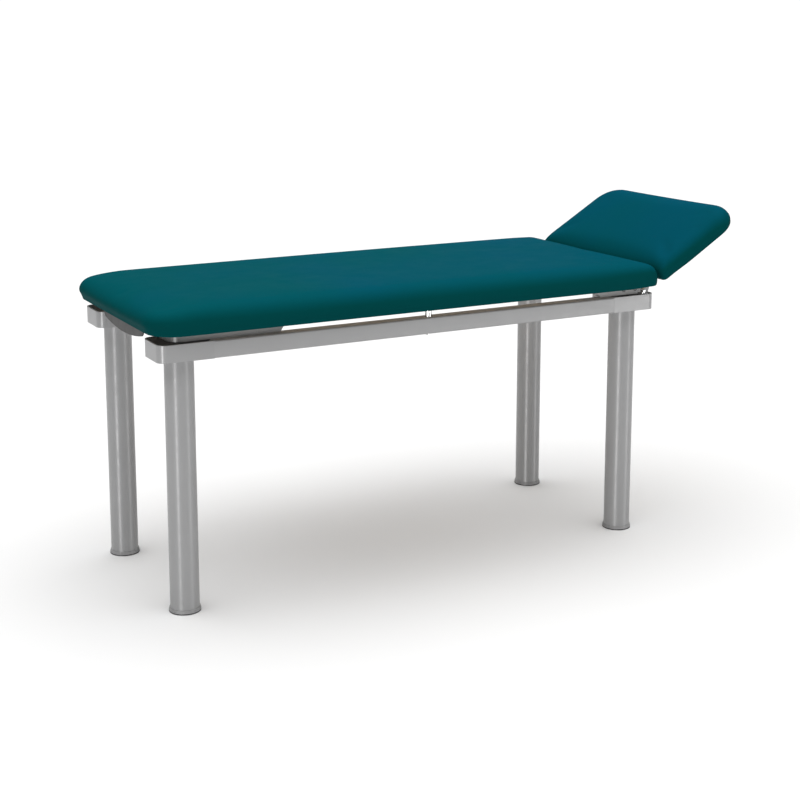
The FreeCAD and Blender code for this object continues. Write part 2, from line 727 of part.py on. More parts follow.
def crossbar():
    """A folded channel between the head saddle's walls that carries both hinges."""
    wall = value("saddle_half_width - sheet_wall")
    high = "crossbar_low + crossbar_width"
    top = "crossbar_bottom + crossbar_height"
    outer = box("crossbar_outer", ("crossbar_low", high), (-wall, wall), ("crossbar_bottom", top))
    hollow = box("crossbar_hollow", ("crossbar_low + 2.5", high + " - 2.5"), (4 - wall, wall - 4),
                 ("crossbar_bottom - 1", top + " - 2.5"))
    holes = [cylinder("crossbar_end_hole_%d" % i, HINGE_SCREW_HOLE, x, -wall - 1, SIDE_SCREW_Z,
                      2 * wall + 2, "y") for i, x in enumerate(SIDE_SCREW_X)]
    holes += [cylinder("crossbar_face_hole_%d" % i, HINGE_SCREW_HOLE, high + " - 4", y, SIDE_SCREW_Z, "6", "x")
              for i, y in enumerate(hinge_bolt_ys())]
    node(cut("hinge_crossbar", outer, [hollow] + holes), "hinge_crossbar")
    screws = []
    for i, x in enumerate(SIDE_SCREW_X):
        for side, side_sign in SIDES:
            seat = side_sign * value("saddle_half_width")
            tip = seat - side_sign * 12
            cap = seat + side_sign * 4
            head = cylinder("side_head_%d_%s" % (i, side), "hinge_screw_head_radius", x, min(seat, cap),
                            SIDE_SCREW_Z, "4", "y")
            shank = cylinder("side_shank_%d_%s" % (i, side), "hinge_screw_radius", x, min(seat, tip),
                             SIDE_SCREW_Z, "12", "y")
            screws.append(fuse("side_screw_%d_%s" % (i, side), [head, shank]))
    node(group("crossbar_screws", screws), "crossbar_screws")


def hinge_bolt_ys():
    return [centre + offset for centre in (-value("hinge_y"), value("hinge_y")) for offset in (-7, 7)]


def hinge_base(side, side_sign):
    """A bracket with two ears that hold the hinge pin and the pawl's pin."""
    face = "crossbar_low + crossbar_width"
    centre = side_sign * value("hinge_y")
    gap = value("ear_gap") / 2
    thick = value("ear_thickness")
    top = "pivot_z + eye_radius"
    pieces = [box("base_plate_" + side, (face, face + " + 4"), (centre - gap - thick, centre + gap + thick),
                  ("pawl_z - 6", top))]
    for i, low in enumerate((centre - gap - thick, centre + gap)):
        across = (low, low + thick)
        pieces.append(box("ear_upper_%s_%d" % (side, i), (face, "pivot_x"), across,
                          ("pivot_z - eye_radius", top)))
        pieces.append(box("ear_lower_%s_%d" % (side, i), (face, "pawl_x"), across,
                          ("pawl_z - 6", "pivot_z")))
        pieces.append(cylinder("ear_eye_%s_%d" % (side, i), "eye_radius", "pivot_x", low, "pivot_z",
                               thick, "y"))
        pieces.append(cylinder("ear_pawl_%s_%d" % (side, i), "pawl_ear_radius", "pawl_x", low, "pawl_z",
                               thick, "y"))
    long = 2 * (gap + thick) + 2
    pin_hole = cylinder("base_pin_hole_" + side, "pin_radius + pin_clearance", "pivot_x", centre - long / 2,
                        "pivot_z", long, "y")
    pawl_hole = cylinder("base_pawl_hole_" + side, "pawl_pin_radius + pin_clearance", "pawl_x",
                         centre - long / 2, "pawl_z", long, "y")
    bolts = [cylinder("base_bolt_hole_%s_%d" % (side, i), HINGE_SCREW_HOLE, face + " - 1", centre + y,
                      SIDE_SCREW_Z, "6", "x") for i, y in enumerate((-7, 7))]
    node(cut("hinge_base_" + side, fuse("base_whole_" + side, pieces), [pin_hole, pawl_hole] + bolts),
         "hinge_base_" + side)


def hinge_base_bolts():
    bolts = []
    face = "crossbar_low + crossbar_width + 4"
    for i, y in enumerate(hinge_bolt_ys()):
        head = cylinder("base_bolt_head_%d" % i, "hinge_screw_head_radius", face, y, SIDE_SCREW_Z, "3", "x")
        shank = cylinder("base_bolt_shank_%d" % i, "hinge_screw_radius", face + " - 12", y, SIDE_SCREW_Z,
                         "12", "x")
        bolts.append(fuse("base_bolt_%d" % i, [head, shank]))
    node(group("hinge_base_bolts", bolts), "hinge_base_bolts")


def hinge_pin(side, side_sign):
    """A headed pin through both ears."""
    centre = side_sign * value("hinge_y")
    reach = value("ear_gap / 2 + ear_thickness")
    pin = cylinder("pin_rod_" + side, "pin_radius", "pivot_x", centre - reach, "pivot_z", 2 * reach, "y")
    heads = [cylinder("pin_head_%s_%d" % (side, i), "pin_head_radius", "pivot_x", y, "pivot_z",
                      "pin_head", "y")
             for i, y in enumerate((centre - reach - value("pin_head"), centre + reach))]
    node(fuse("hinge_pin_" + side, [pin] + heads), "hinge_pin_" + side)


def headrest_arm(side, side_sign):
    """An arm under the headrest with a pierced eye and a toothed sector, built flat."""
    centre = side_sign * value("hinge_y")
    half = value("eye_width") / 2
    web = value("arm_web") / 2
    flange = value("arm_flange_width") / 2
    eye = cylinder("arm_eye_" + side, "eye_radius", "pivot_x", centre - half, "pivot_z", 2 * half, "y")
    neck = box("arm_neck_" + side, ("pivot_x", "pivot_x + 30"), (centre - half, centre + half),
               ("pivot_z", "pivot_z + eye_radius"))
    rib = box("arm_rib_" + side, ("pivot_x + 4", "pivot_x + arm_length - 20"), (centre - web, centre + web),
              ("pivot_z - 5", SEAT + " - 1"))
    leaf = box("arm_leaf_" + side, ("pivot_x + 24", "pivot_x + arm_length"), (centre - flange, centre + flange),
               (SEAT + " - 3", SEAT))
    pin_hole = cylinder("arm_hole_" + side, "pin_radius + pin_clearance", "pivot_x", centre - half - 1,
                        "pivot_z", 2 * half + 2, "y")
    holes = [cylinder("arm_screw_hole_%s_%d" % (side, i), "screw_radius + bolt_clearance", x, centre + y,
                      BOARD + " - 8", "9") for i, (x, y) in enumerate(arm_screw_places())]
    arm = fuse("arm_whole_" + side, [eye, neck, rib, leaf, sector(side, centre)])
    node(tilt(cut("headrest_arm_" + side, arm, [pin_hole] + holes)), "headrest_arm_" + side)


def arm_screw_places():
    return [("pivot_x + %d" % x, y) for x in (60, 140) for y in (-9, 9)]


def sector(side, centre):
    """A quarter disc with saw teeth, one for each position of the headrest."""
    disc = DOC.addObject("Part::Cylinder", "sector_disc_" + side)
    bind(disc, Radius="sector_radius", Height="5")
    disc.Angle = 78
    upright = FreeCAD.Rotation(V(1, 0, 0), 90)
    start = FreeCAD.Rotation(V(0, 1, 0), 188)
    disc.Placement = FreeCAD.Placement(V(0, 0, 0), start.multiply(upright))
    place(disc, "pivot_x", centre + 2.5, "pivot_z")
    notches = []
    for step in range(8):
        notch = DOC.addObject("Part::Prism", "sector_notch_%s_%d" % (side, step))
        notch.Polygon = 3
        bind(notch, Circumradius="1.3", Height="7")
        angle = math.radians(196 + step * value("tooth_pitch"))
        notch.Placement = FreeCAD.Placement(V(0, 0, 0), upright)
        place(notch, "pivot_x + sector_radius * %.6f" % math.cos(angle), centre + 3.5,
              "pivot_z + sector_radius * %.6f" % math.sin(angle))
        notches.append(notch)
    return cut("sector_" + side, disc, notches)


def pawl(side, side_sign):
    """A spring-loaded catch under the sector, held just clear of its teeth."""
    centre = side_sign * value("hinge_y")
    eye = cylinder("pawl_eye_" + side, "pawl_eye", "pawl_x", centre - 4, "pawl_z", "8", "y")
    finger = box("pawl_finger_" + side, ("pawl_x", "pivot_x - 1"), (centre - 4, centre + 4),
                 ("pawl_z - 4.5", "pivot_z - sector_radius - 1.6"))
    nose = box("pawl_nose_" + side, ("pivot_x - 4", "pivot_x - 1"), (centre - 2.5, centre + 2.5),
               ("pivot_z - sector_radius - 2", "pivot_z - sector_radius - 0.4"))
    hole = cylinder("pawl_hole_" + side, "pawl_pin_radius + pin_clearance", "pawl_x", centre - 5, "pawl_z",
                    "10", "y")
    node(cut("pawl_" + side, fuse("pawl_whole_" + side, [eye, finger, nose]), [hole]), "pawl_" + side)


def pawl_pins():
    pins = []
    reach = value("ear_gap / 2 + ear_thickness")
    for side, side_sign in SIDES:
        pins.append(cylinder("pawl_pin_" + side, "pawl_pin_radius", "pawl_x",
                             side_sign * value("hinge_y") - reach, "pawl_z", 2 * reach, "y"))
    node(group("pawl_pins", pins), "pawl_pins")


def headrest():
    """The tilting pad, built flat and then turned up with its screws."""
    span = ("pivot_x + rest_start", "pivot_x + rest_start + rest_length")
    screws = [(x, "%s * hinge_y + %s" % (s, y)) for _, s in SIDES for x, y in arm_screw_places()]
    pieces = upholstery("headrest", span, "rest_width", "rest_height",
                        ("rest_hinge_corner", "rest_head_corner"), screws)
    for piece in pieces:
        tilt(piece)
    screw_group = pan_screws("headrest_screws", screws, SEAT + " - 3", "skin + 3 + 12")
    node(tilt(screw_group), "headrest_screws")


# ---------------------------------------------------------------- assembly

def build():
    corners = []
    for end, end_sign in ENDS:
        for side, side_sign in SIDES:
            x = "%d * leg_span_x / 2" % end_sign
            y = "%d * leg_span_y / 2" % side_sign
            corners.append((end, side, x, y))
            leg(end, side, x, y)
            leg_fittings(end, side, x, y)
            levelling_foot(end, side, x, y)
            corner_block(end, side, x, y, end_sign, side_sign)
            block_lid(end, side, x, y, side_sign)
    leg_bolts(corners)
    for side, side_sign in SIDES:
        rail(side, side_sign)
        spacer(side, side_sign)
        hinge_base(side, side_sign)
        hinge_pin(side, side_sign)
        headrest_arm(side, side_sign)
        pawl(side, side_sign)
    spacer_fasteners()
    foot_saddle()
    head_saddle()
    saddle_fasteners()
    crossbar()
    hinge_base_bolts()
    pawl_pins()
    board_screws = foot_board_screws() + head_board_screws()
    upholstery("main", ("main_foot_end", "main_head_end"), "pad_width", "pad_height",
               ("main_foot_corner", "main_head_corner"), board_screws, tee_nut_holes())
    node(pan_screws("board_screws", board_screws, SEAT + " - sheet_wall", "sheet_wall + skin + 12"),
         "board_screws")
    headrest()
    DOC.recompute()


def export():
    """Checks every object, then writes one file for each sub-part."""
    for thing in DOC.Objects:
        if "Invalid" in thing.State or "Error" in thing.State:
            raise RuntimeError("%s failed: %s" % (thing.Name, thing.State))
    for thing in NODES:
        if thing.Shape.isNull() or not thing.Shape.isValid() or thing.Shape.Volume < 1:
            raise RuntimeError("%s has a bad shape" % thing.Label)
    os.makedirs("parts", exist_ok=True)
    whole = FreeCAD.BoundBox()
    for thing in NODES:
        thing.Shape.exportStep("parts/%s.step" % thing.Label)
        whole.add(thing.Shape.BoundBox)
    print("%d sub-parts, box" % len(NODES), whole)


build()
export()
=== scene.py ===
import json
import math

import bmesh
import bpy
import numpy as np
from mathutils import Matrix, Quaternion, Vector

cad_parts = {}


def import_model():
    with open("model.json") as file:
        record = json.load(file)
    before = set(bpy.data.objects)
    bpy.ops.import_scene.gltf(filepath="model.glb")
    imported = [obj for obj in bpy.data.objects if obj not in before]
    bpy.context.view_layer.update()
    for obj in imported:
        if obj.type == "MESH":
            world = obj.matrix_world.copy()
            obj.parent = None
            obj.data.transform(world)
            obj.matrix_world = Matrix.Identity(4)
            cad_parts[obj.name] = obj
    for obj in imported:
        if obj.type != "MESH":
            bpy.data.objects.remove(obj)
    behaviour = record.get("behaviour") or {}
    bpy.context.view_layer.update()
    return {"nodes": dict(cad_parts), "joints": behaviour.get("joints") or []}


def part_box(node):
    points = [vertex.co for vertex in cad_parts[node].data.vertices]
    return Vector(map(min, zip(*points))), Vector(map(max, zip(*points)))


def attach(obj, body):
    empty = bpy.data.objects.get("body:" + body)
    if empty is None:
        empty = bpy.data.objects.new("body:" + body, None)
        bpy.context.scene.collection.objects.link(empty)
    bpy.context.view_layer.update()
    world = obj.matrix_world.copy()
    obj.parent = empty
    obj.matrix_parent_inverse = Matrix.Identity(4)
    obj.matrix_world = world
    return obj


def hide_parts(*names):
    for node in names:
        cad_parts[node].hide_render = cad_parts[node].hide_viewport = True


# Looks of the examination couch: two upholstered cushions over the CAD frame, a finish for
# every visible part, a pale floor, soft light and the camera.  Metres, in the row frame:
# +X points to the head end, +Y to the rear side, +Z up.

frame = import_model()
nodes = frame["nodes"]
MM = 0.001


# ---------------------------------------------------------------- shader helpers

class Look:
    """A procedural material around one Principled shader, with object coordinates in metres."""

    def __init__(self, name, color, roughness, metallic=0.0, specular=0.5):
        self.material = bpy.data.materials.new(name)
        self.material.use_nodes = True
        self.tree = self.material.node_tree
        self.shader = self.tree.nodes["Principled BSDF"]
        self.shader.inputs["Base Color"].default_value = (*color, 1)
        self.shader.inputs["Roughness"].default_value = roughness
        self.shader.inputs["Metallic"].default_value = metallic
        self.shader.inputs["Specular IOR Level"].default_value = specular
        self.place = self.node("ShaderNodeTexCoord").outputs["Object"]
        self.normal = None

    def node(self, kind, links=(), **settings):
        made = self.tree.nodes.new(kind)
        for name, setting in settings.items():
            setattr(made, name, setting)
        for socket, source in dict(links).items():
            self.put(made.inputs[socket], source)
        return made

    def put(self, socket, source):
        """Links a socket, or sets its value."""
        if isinstance(source, bpy.types.NodeSocket):
            self.tree.links.new(source, socket)
        else:
            socket.default_value = source

    def stretched(self, scale):
        """Object coordinates scaled differently along each axis."""
        return self.node("ShaderNodeVectorMath", {0: self.place, 1: scale},
                         operation="MULTIPLY").outputs[0]

    def along(self, direction):
        """The distance along a direction, in metres."""
        return self.node("ShaderNodeVectorMath", {0: self.place, 1: direction},
                         operation="DOT_PRODUCT").outputs["Value"]

    def noise(self, scale, detail=2.0, rough=0.5, where=None):
        made = self.node("ShaderNodeTexNoise", {"Vector": where or self.place, "Scale": scale,
                                                "Detail": detail, "Roughness": rough})
        return made.outputs["Fac"]

    def cells(self, scale):
        made = self.node("ShaderNodeTexVoronoi", {"Vector": self.place, "Scale": scale},
                         feature="SMOOTH_F1")
        return made.outputs["Distance"]

    def math(self, operation, first, second=0.0):
        return self.node("ShaderNodeMath", {0: first, 1: second}, operation=operation).outputs[0]

    def facing(self, normal, direction):
        """How far a normal of the surface points along a direction, from -1 to 1."""
        source = self.node("ShaderNodeNewGeometry").outputs[normal]
        return self.node("ShaderNodeVectorMath", {0: source, 1: direction},
                         operation="DOT_PRODUCT").outputs["Value"]

    def span(self, value, from_low, from_high, to_low, to_high):
        """Maps one range onto another."""
        ends = {"Value": value, "From Min": from_low, "From Max": from_high,
                "To Min": to_low, "To Max": to_high}
        return self.node("ShaderNodeMapRange", ends).outputs[0]

    def uneven(self, scale, detail, low, high):
        """A level that wanders between two values."""
        return self.span(self.noise(scale, detail), 0.2, 0.8, low, high)

    def blend(self, factor, first, second):
        made = self.node("ShaderNodeMix", data_type="RGBA", blend_type="MIX")
        self.put(made.inputs["Factor"], factor)
        colors = [s for s in made.inputs if s.type == "RGBA"]
        for socket, color in zip(colors, (first, second)):
            self.put(socket, (*color, 1) if isinstance(color, tuple) else color)
        return [s for s in made.outputs if s.type == "RGBA"][0]

    def color(self, source):
        self.put(self.shader.inputs["Base Color"], source)

    def roughness(self, source):
        self.put(self.shader.inputs["Roughness"], source)

    def soft_edges(self, radius):
        """Rounds the shading over sharp edges."""
        self.normal = self.node("ShaderNodeBevel", {"Radius": radius}, samples=6).outputs["Normal"]
        self.put(self.shader.inputs["Normal"], self.normal)

    def bump(self, height, depth, strength=1.0):
        """Adds relief of the given depth in metres."""
        made = self.node("ShaderNodeBump", {"Height": height, "Distance": depth, "Strength": strength})
        if self.normal:
            self.put(made.inputs["Normal"], self.normal)
        self.normal = made.outputs["Normal"]
        self.put(self.shader.inputs["Normal"], self.normal)


# ---------------------------------------------------------------- finishes

def shade(color, factor):
    return tuple(min(1, c * factor) for c in color)


def powder_coat(name, color, roughness, specular=0.42):
    """Satin powder coat: fine orange peel and slight tone drift."""
    look = Look(name, color, roughness, specular=specular)
    look.soft_edges(0.9 * MM)
    look.color(look.blend(look.noise(7, 3), shade(color, 0.94), shade(color, 1.05)))
    look.roughness(look.uneven(40, 3, roughness - 0.05, roughness + 0.06))
    look.bump(look.noise(520, 2), 0.10 * MM)
    return look.material


def saddle_coat_and_apron_shade(name, color, apron_painted_shade, apron_edge, roughness):
    """Powder coat on folded sheet; the apron at the foot end, which hangs in the main pad's shade, is
    painted near-black as painted shade, and its gloss is lowered.
    """
    look = Look(name, color, roughness)
    look.soft_edges(0.7 * MM)
    # Painted shade: the apron under the main pad's foot end gets a near-black colour and a lower gloss in
    # place of the shade that falls there.
    outside_apron_shade = look.span(look.along((1, 0, 0)), apron_edge, apron_edge + 10 * MM, 0, 1)
    look.color(look.blend(look.uneven(9, 3, 0, 0.1), look.blend(outside_apron_shade, apron_painted_shade, color),
                          (0.4, 0.4, 0.4)))
    look.put(look.shader.inputs["Specular IOR Level"], look.span(outside_apron_shade, 0, 1, 0.12, 0.42))
    look.roughness(look.uneven(40, 3, roughness - 0.05, roughness + 0.06))
    look.bump(look.noise(520, 2), 0.08 * MM)
    return look.material


def cast_coat(name, color, roughness):
    """Powder coat over a casting, which shows a faint sand texture."""
    look = Look(name, color, roughness, specular=0.42)
    look.soft_edges(1.2 * MM)
    look.color(look.blend(look.noise(9, 3), shade(color, 0.95), shade(color, 1.05)))
    look.roughness(look.uneven(60, 3, roughness - 0.03, roughness + 0.04))
    look.bump(look.noise(420, 3, 0.6), 0.05 * MM)
    look.bump(look.noise(1100, 1), 0.03 * MM)
    return look.material


def moulded_plastic(name, color, roughness, grain_scale=900, rubber_below=None):
    """Moulded plastic with a spark-eroded grain, and a dark rubber base below a height."""
    look = Look(name, color, roughness, specular=0.4)
    look.soft_edges(0.6 * MM)
    tone = look.blend(look.noise(25, 3), shade(color, 0.85), shade(color, 1.2))
    if rubber_below:
        height = look.along((0, 0, 1))
        above = look.span(height, rubber_below - 0.3 * MM, rubber_below + 0.3 * MM, 0, 1)
        tone = look.blend(above, (0.035, 0.035, 0.035), tone)
    look.color(tone)
    look.roughness(look.uneven(90, 3, roughness - 0.06, roughness + 0.1))
    look.bump(look.cells(grain_scale), 0.12 * MM, 0.6)
    return look.material


def plated_steel(name, color, roughness, streak=(30, 30, 900)):
    """Zinc plated steel: fine rolling streaks and a mottled passivation."""
    look = Look(name, color, roughness, metallic=1.0)
    look.soft_edges(0.4 * MM)
    look.color(look.blend(look.noise(160, 4, 0.65), shade(color, 0.82), shade(color, 1.1)))
    fine = look.noise(1, 3, 0.6, look.stretched(streak))
    look.roughness(look.span(fine, 0.2, 0.8, roughness - 0.08, roughness + 0.12))
    look.bump(fine, 0.02 * MM)
    return look.material


def chrome(name, color):
    """Bright chrome with a trace of fingerprints."""
    look = Look(name, color, 0.08, metallic=1.0)
    look.soft_edges(0.3 * MM)
    look.roughness(look.span(look.noise(220, 4, 0.7), 0.3, 0.8, 0.05, 0.16))
    look.bump(look.noise(120, 2), 0.01 * MM)
    return look.material


def plywood(name, up):
    """Birch plywood: long grain on the faces and alternating plies along the edges."""
    pale = (0.52, 0.44, 0.34)
    warm = (0.40, 0.32, 0.235)
    ply_thickness = 1.4 * MM
    look = Look(name, pale, 0.6, specular=0.25)
    look.soft_edges(0.4 * MM)
    waves = look.noise(1, 5, 0.6, look.stretched((1.6, 42, 42)))
    fibre = look.noise(1, 3, 0.6, look.stretched((25, 900, 900)))
    grain = look.blend(look.span(waves, 0.35, 0.7, 0, 1), pale, warm)
    grain = look.blend(look.span(fibre, 0.3, 0.7, 0, 0.35), grain, (0.42, 0.27, 0.14))
    plies = look.math("FRACT", look.math("MULTIPLY", look.along(tuple(up)), 0.5 / ply_thickness))
    darker_ply = look.math("GREATER_THAN", plies, 0.5)
    on_edge = look.math("LESS_THAN", look.math("ABSOLUTE", look.facing("True Normal", tuple(up))), 0.7)
    edge = look.blend(darker_ply, (0.62, 0.45, 0.27), (0.36, 0.23, 0.12))
    look.color(look.blend(on_edge, grain, edge))
    look.bump(fibre, 0.06 * MM)
    return look.material


def leatherette(name):
    """Smooth upholstery vinyl: fine pebble grain, satin top coat, slow change of tone, and painted shade:
    faces that turn away from straight up are painted darker and greener.
    """
    green = (0.0002, 0.0785, 0.094)
    blue = (0.0002, 0.0745, 0.118)
    # side: painted shade, the darker and greener colour given to faces that turn away from straight up.
    side = (0.0006, 0.056, 0.058)
    look = Look(name, blue, 0.5, specular=0.004)
    tone = look.math("ADD", look.noise(2.3, 3, 0.5), look.math("MULTIPLY", look.along((1, 0, 0)), 0.25))
    broad = look.blend(look.span(tone, 0.3, 0.75, 0, 1), green, blue)
    # Painted shade: the colour goes from the top tone to the side colour as the surface turns from facing
    # up to facing sideways.
    upward = look.facing("Normal", (0, 0, 1))
    look.color(look.blend(look.span(upward, 0.35, 1.0, 0, 1), side, broad))
    look.roughness(look.span(look.noise(14, 4, 0.6), 0.25, 0.75, 0.46, 0.58))
    unevenness = look.noise(9, 2)
    pebbles = look.cells(820)
    pores = look.math("MULTIPLY", look.noise(2400, 2), 0.35)
    creases = look.math("MULTIPLY", look.noise(210, 3, 0.6), 0.5)
    look.bump(unevenness, 1.2 * MM, 0.35)
    look.bump(look.math("ADD", look.math("ADD", pebbles, pores), creases), 0.2 * MM, 0.8)
    return look.material


# ---------------------------------------------------------------- places read from the frame

def flat_normal(node):
    """The upward normal of a plate's broad face."""
    totals = {}
    for face in nodes[node].data.polygons:
        key = tuple(round(c, 2) for c in (face.normal if face.normal.z > 0 else -face.normal))
        area, total = totals.get(key, (0.0, Vector()))
        totals[key] = (area + face.area, total + Vector(key) * face.area)
    return max(totals.values(), key=lambda entry: entry[0])[1].normalized()


class Pad:
    """A pad's own flat layout: its box when laid flat, and the turn that takes it to its place."""

    def __init__(self, prefix, body, pivot):
        self.prefix = prefix
        self.body = body
        self.up = flat_normal(prefix + "_board")
        angle = math.atan2(self.up.x, self.up.z)
        spin = Matrix.Rotation(angle, 4, "Y")
        self.turn = Matrix.Translation(pivot) @ spin @ Matrix.Translation(-pivot)
        back = self.turn.inverted()
        points = [back @ v.co for v in nodes[prefix + "_cover"].data.vertices]
        self.low = Vector([min(p[i] for p in points) for i in range(3)])
        self.high = Vector([max(p[i] for p in points) for i in range(3)])
        board = [back @ v.co for v in nodes[prefix + "_board"].data.vertices]
        self.board_bottom = min(p.z for p in board)
        self.board_top = max(p.z for p in board)
        self.board_inset = min(p.x for p in board) - self.low.x


# ---------------------------------------------------------------- cushion shape

HEM = 18 * MM              # how far the cover is turned in under the board
LIP = 3 * MM               # how far the cover hangs below the board's edge
LEAN = 0.97                # share of a quarter turn that the shoulder makes
BULGE = 2.5 * MM           # how far the sides swell between shoulder and hem
STAPLE_INSET = 13 * MM


class Outline:
    """A rectangle with its own corner radius at each end, and rings parallel to it.
    Grid lines run across it; a corner zone of the grid maps onto a quarter disc."""

    def __init__(self, pad, corners, cell):
        self.low_x = pad.low.x
        self.high_x = pad.high.x
        self.half = (pad.high.y - pad.low.y) / 2
        self.radii = corners
        in_corner = [max(3, round(radius / cell)) for radius in corners]
        deep = max(in_corner)
        long = self.high_x - self.low_x - sum(corners)
        self.rows_x = self.lines(in_corner[0], round(long / cell), in_corner[1])
        self.rows_y = self.lines(deep, round(2 * (self.half - max(corners)) / cell), deep)

    @staticmethod
    def lines(low_cells, middle_cells, high_cells):
        """Grid lines as (zone, fraction): zone -1 or 1 in a corner zone, 0 between."""
        low = [(-1, 1 - i / low_cells) for i in range(low_cells)]
        middle = [(0, i / middle_cells) for i in range(middle_cells + 1)]
        high = [(1, (i + 1) / high_cells) for i in range(high_cells)]
        return low + middle + high

    def point(self, across, along, inset=0.0):
        """The plan point of two grid lines, in the outline shrunk by an inset."""
        zone_x, part_x = across
        zone_y, part_y = along
        foot, head = [max(radius - inset, 3 * MM) for radius in self.radii]
        low, high, half = self.low_x + inset, self.high_x - inset, self.half - inset
        if zone_x == 0:
            radius = foot + (head - foot) * part_x
            x = low + foot + (high - head - low - foot) * part_x
            y = self.side_y(zone_y, part_y, half, radius)
            return x, y
        radius = foot if zone_x < 0 else head
        base_x = low + foot if zone_x < 0 else high - head
        if zone_y == 0:
            return base_x + zone_x * radius * part_x, self.side_y(0, part_y, half, radius)
        disc_x = part_x * math.sqrt(1 - part_y ** 2 / 2)
        disc_y = part_y * math.sqrt(1 - part_x ** 2 / 2)
        return base_x + zone_x * radius * disc_x, zone_y * (half - radius + radius * disc_y)

    @staticmethod
    def side_y(zone, part, half, radius):
        if zone == 0:
            return (half - radius) * (2 * part - 1)
        return zone * (half - radius + radius * part)

    def depth(self, x, y):
        """The distance inside the edge, and the unit direction that leads away from it."""
        middle = (self.low_x + self.high_x) / 2
        radius = self.radii[0] if x < middle else self.radii[1]
        qx = abs(x - middle) - (self.high_x - self.low_x) / 2 + radius
        qy = abs(y) - self.half + radius
        sign_x = -1 if x > middle else 1
        sign_y = -1 if y > 0 else 1
        if qx > 0 and qy > 0:
            reach = math.hypot(qx, qy)
            return radius - reach, (sign_x * qx / reach, sign_y * qy / reach)
        if qx > qy:
            return radius - qx, (sign_x, 0)
        return radius - qy, (0, sign_y)

    def rim(self):
        """Grid index pairs once round the edge."""
        last_x, last_y = len(self.rows_x) - 1, len(self.rows_y) - 1
        return ([(i, 0) for i in range(last_x)] + [(last_x, j) for j in range(last_y)]
                + [(last_x - i, last_y) for i in range(last_x)] + [(0, last_y - j) for j in range(last_y)])


def shell_rings(across, tuck, shoulder):
    """Rings below the top, as (inset, height over the hem, share of the lip)."""
    side_rows = 4
    hem_rows = 3
    seam = 1.8 * MM
    lip_fade = 12 * MM
    start = across * (1 - math.sin(math.pi / 2 * LEAN))
    rings = []
    for row in range(1, side_rows + 1):
        share = row / side_rows
        inset = start + (tuck - start) * share ** 2 - math.sin(share * math.pi) * BULGE
        z = shoulder + (seam - shoulder) * share
        rings.append((inset, z, max(0, 1 - z / lip_fade)))
    rings += [(tuck + 0.3 * MM, 0.4 * MM, 0.97), (tuck + 1.4 * MM, 0, 1), (tuck + 4 * MM, 0, 1)]
    hem_start = tuck + 8 * MM
    for row in range(hem_rows + 1):
        rings.append((hem_start + (HEM - hem_start) * row / hem_rows, 0, 0))
    return rings


def cushion_shell(name, outline, base, height, edge, crown, tuck, hinge_end):
    """The cover's open shell: top with rounded shoulders, sides that lean in, and the hem below.
    A soft lip hangs below the board's edge, except at the hinge end, which has no room for it."""
    across, drop = edge
    crown_reach = outline.half * 0.85
    bm = bmesh.new()
    grid = {}
    for i, line_x in enumerate(outline.rows_x):
        for j, line_y in enumerate(outline.rows_y):
            x, y = outline.point(line_x, line_y)
            depth, inward = outline.depth(x, y)
            z = base + height - crown * max(0, 1 - depth / crown_reach) ** 2
            if depth < across:
                angle = (1 - depth / across) * math.pi / 2 * LEAN
                shift = across * (1 - math.sin(angle)) - depth
                x += inward[0] * shift
                y += inward[1] * shift
                z -= drop * (1 - math.cos(angle))
            grid[i, j] = bm.verts.new((x, y, z))
    for i in range(len(outline.rows_x) - 1):
        for j in range(len(outline.rows_y) - 1):
            bm.faces.new((grid[i, j], grid[i + 1, j], grid[i + 1, j + 1], grid[i, j + 1]))
    shoulder = height - crown - drop * (1 - math.cos(math.pi / 2 * LEAN))
    rim = outline.rim()
    hinge_x = outline.high_x if hinge_end > 0 else outline.low_x
    no_lip, full_lip = 40 * MM, 100 * MM
    previous = [grid[key] for key in rim]
    for inset, z, lip_share in shell_rings(across, tuck, shoulder):
        ring = []
        for i, j in rim:
            x, y = outline.point(outline.rows_x[i], outline.rows_y[j], inset)
            room = min(1, max(0, (abs(x - hinge_x) - no_lip) / (full_lip - no_lip)))
            ring.append(bm.verts.new((x, y, base + z - LIP * room * lip_share)))
        for k in range(len(rim)):
            after = (k + 1) % len(rim)
            bm.faces.new((previous[k], ring[k], ring[after], previous[after]))
        previous = ring
    bmesh.ops.recalc_face_normals(bm, faces=bm.faces)
    mesh = bpy.data.meshes.new(name)
    bm.to_mesh(mesh)
    bm.free()
    piece = bpy.data.objects.new(name, mesh)
    bpy.context.scene.collection.objects.link(piece)
    return piece


def points_of(mesh):
    flat = np.empty(len(mesh.vertices) * 3)
    mesh.vertices.foreach_get("co", flat)
    return flat.reshape(-1, 3)


def inflate(piece, base, cap, pressure):
    """Cloth under a little air pressure, held at its hem; no point moves further than the cap."""
    frames = 14
    held_below = base + 9 * MM
    before = points_of(piece.data)
    held = piece.vertex_groups.new(name="held")
    held.add([i for i, p in enumerate(before) if p[2] < held_below], 1.0, "REPLACE")
    cloth = piece.modifiers.new("cloth", "CLOTH")
    settings = cloth.settings
    settings.quality = 5
    settings.mass = 0.3
    settings.tension_stiffness = 150
    settings.compression_stiffness = 150
    settings.shear_stiffness = 75
    settings.bending_stiffness = 5
    settings.vertex_group_mass = "held"
    settings.use_pressure = True
    settings.uniform_pressure_force = pressure
    settings.effector_weights.gravity = 0
    cloth.point_cache.frame_start = 1
    cloth.point_cache.frame_end = frames
    for step in range(1, frames + 1):
        bpy.context.scene.frame_set(step)
    depsgraph = bpy.context.evaluated_depsgraph_get()
    blown = bpy.data.meshes.new_from_object(piece.evaluated_get(depsgraph))
    move = points_of(blown) - before
    length = np.linalg.norm(move, axis=1, keepdims=True)
    softened = cap * np.tanh(length / cap)
    after = before + move * softened / np.maximum(length, 1e-9)
    piece.modifiers.clear()
    piece.vertex_groups.clear()
    piece.data.vertices.foreach_set("co", after.ravel())
    piece.data.update()
    bpy.context.scene.frame_set(1)


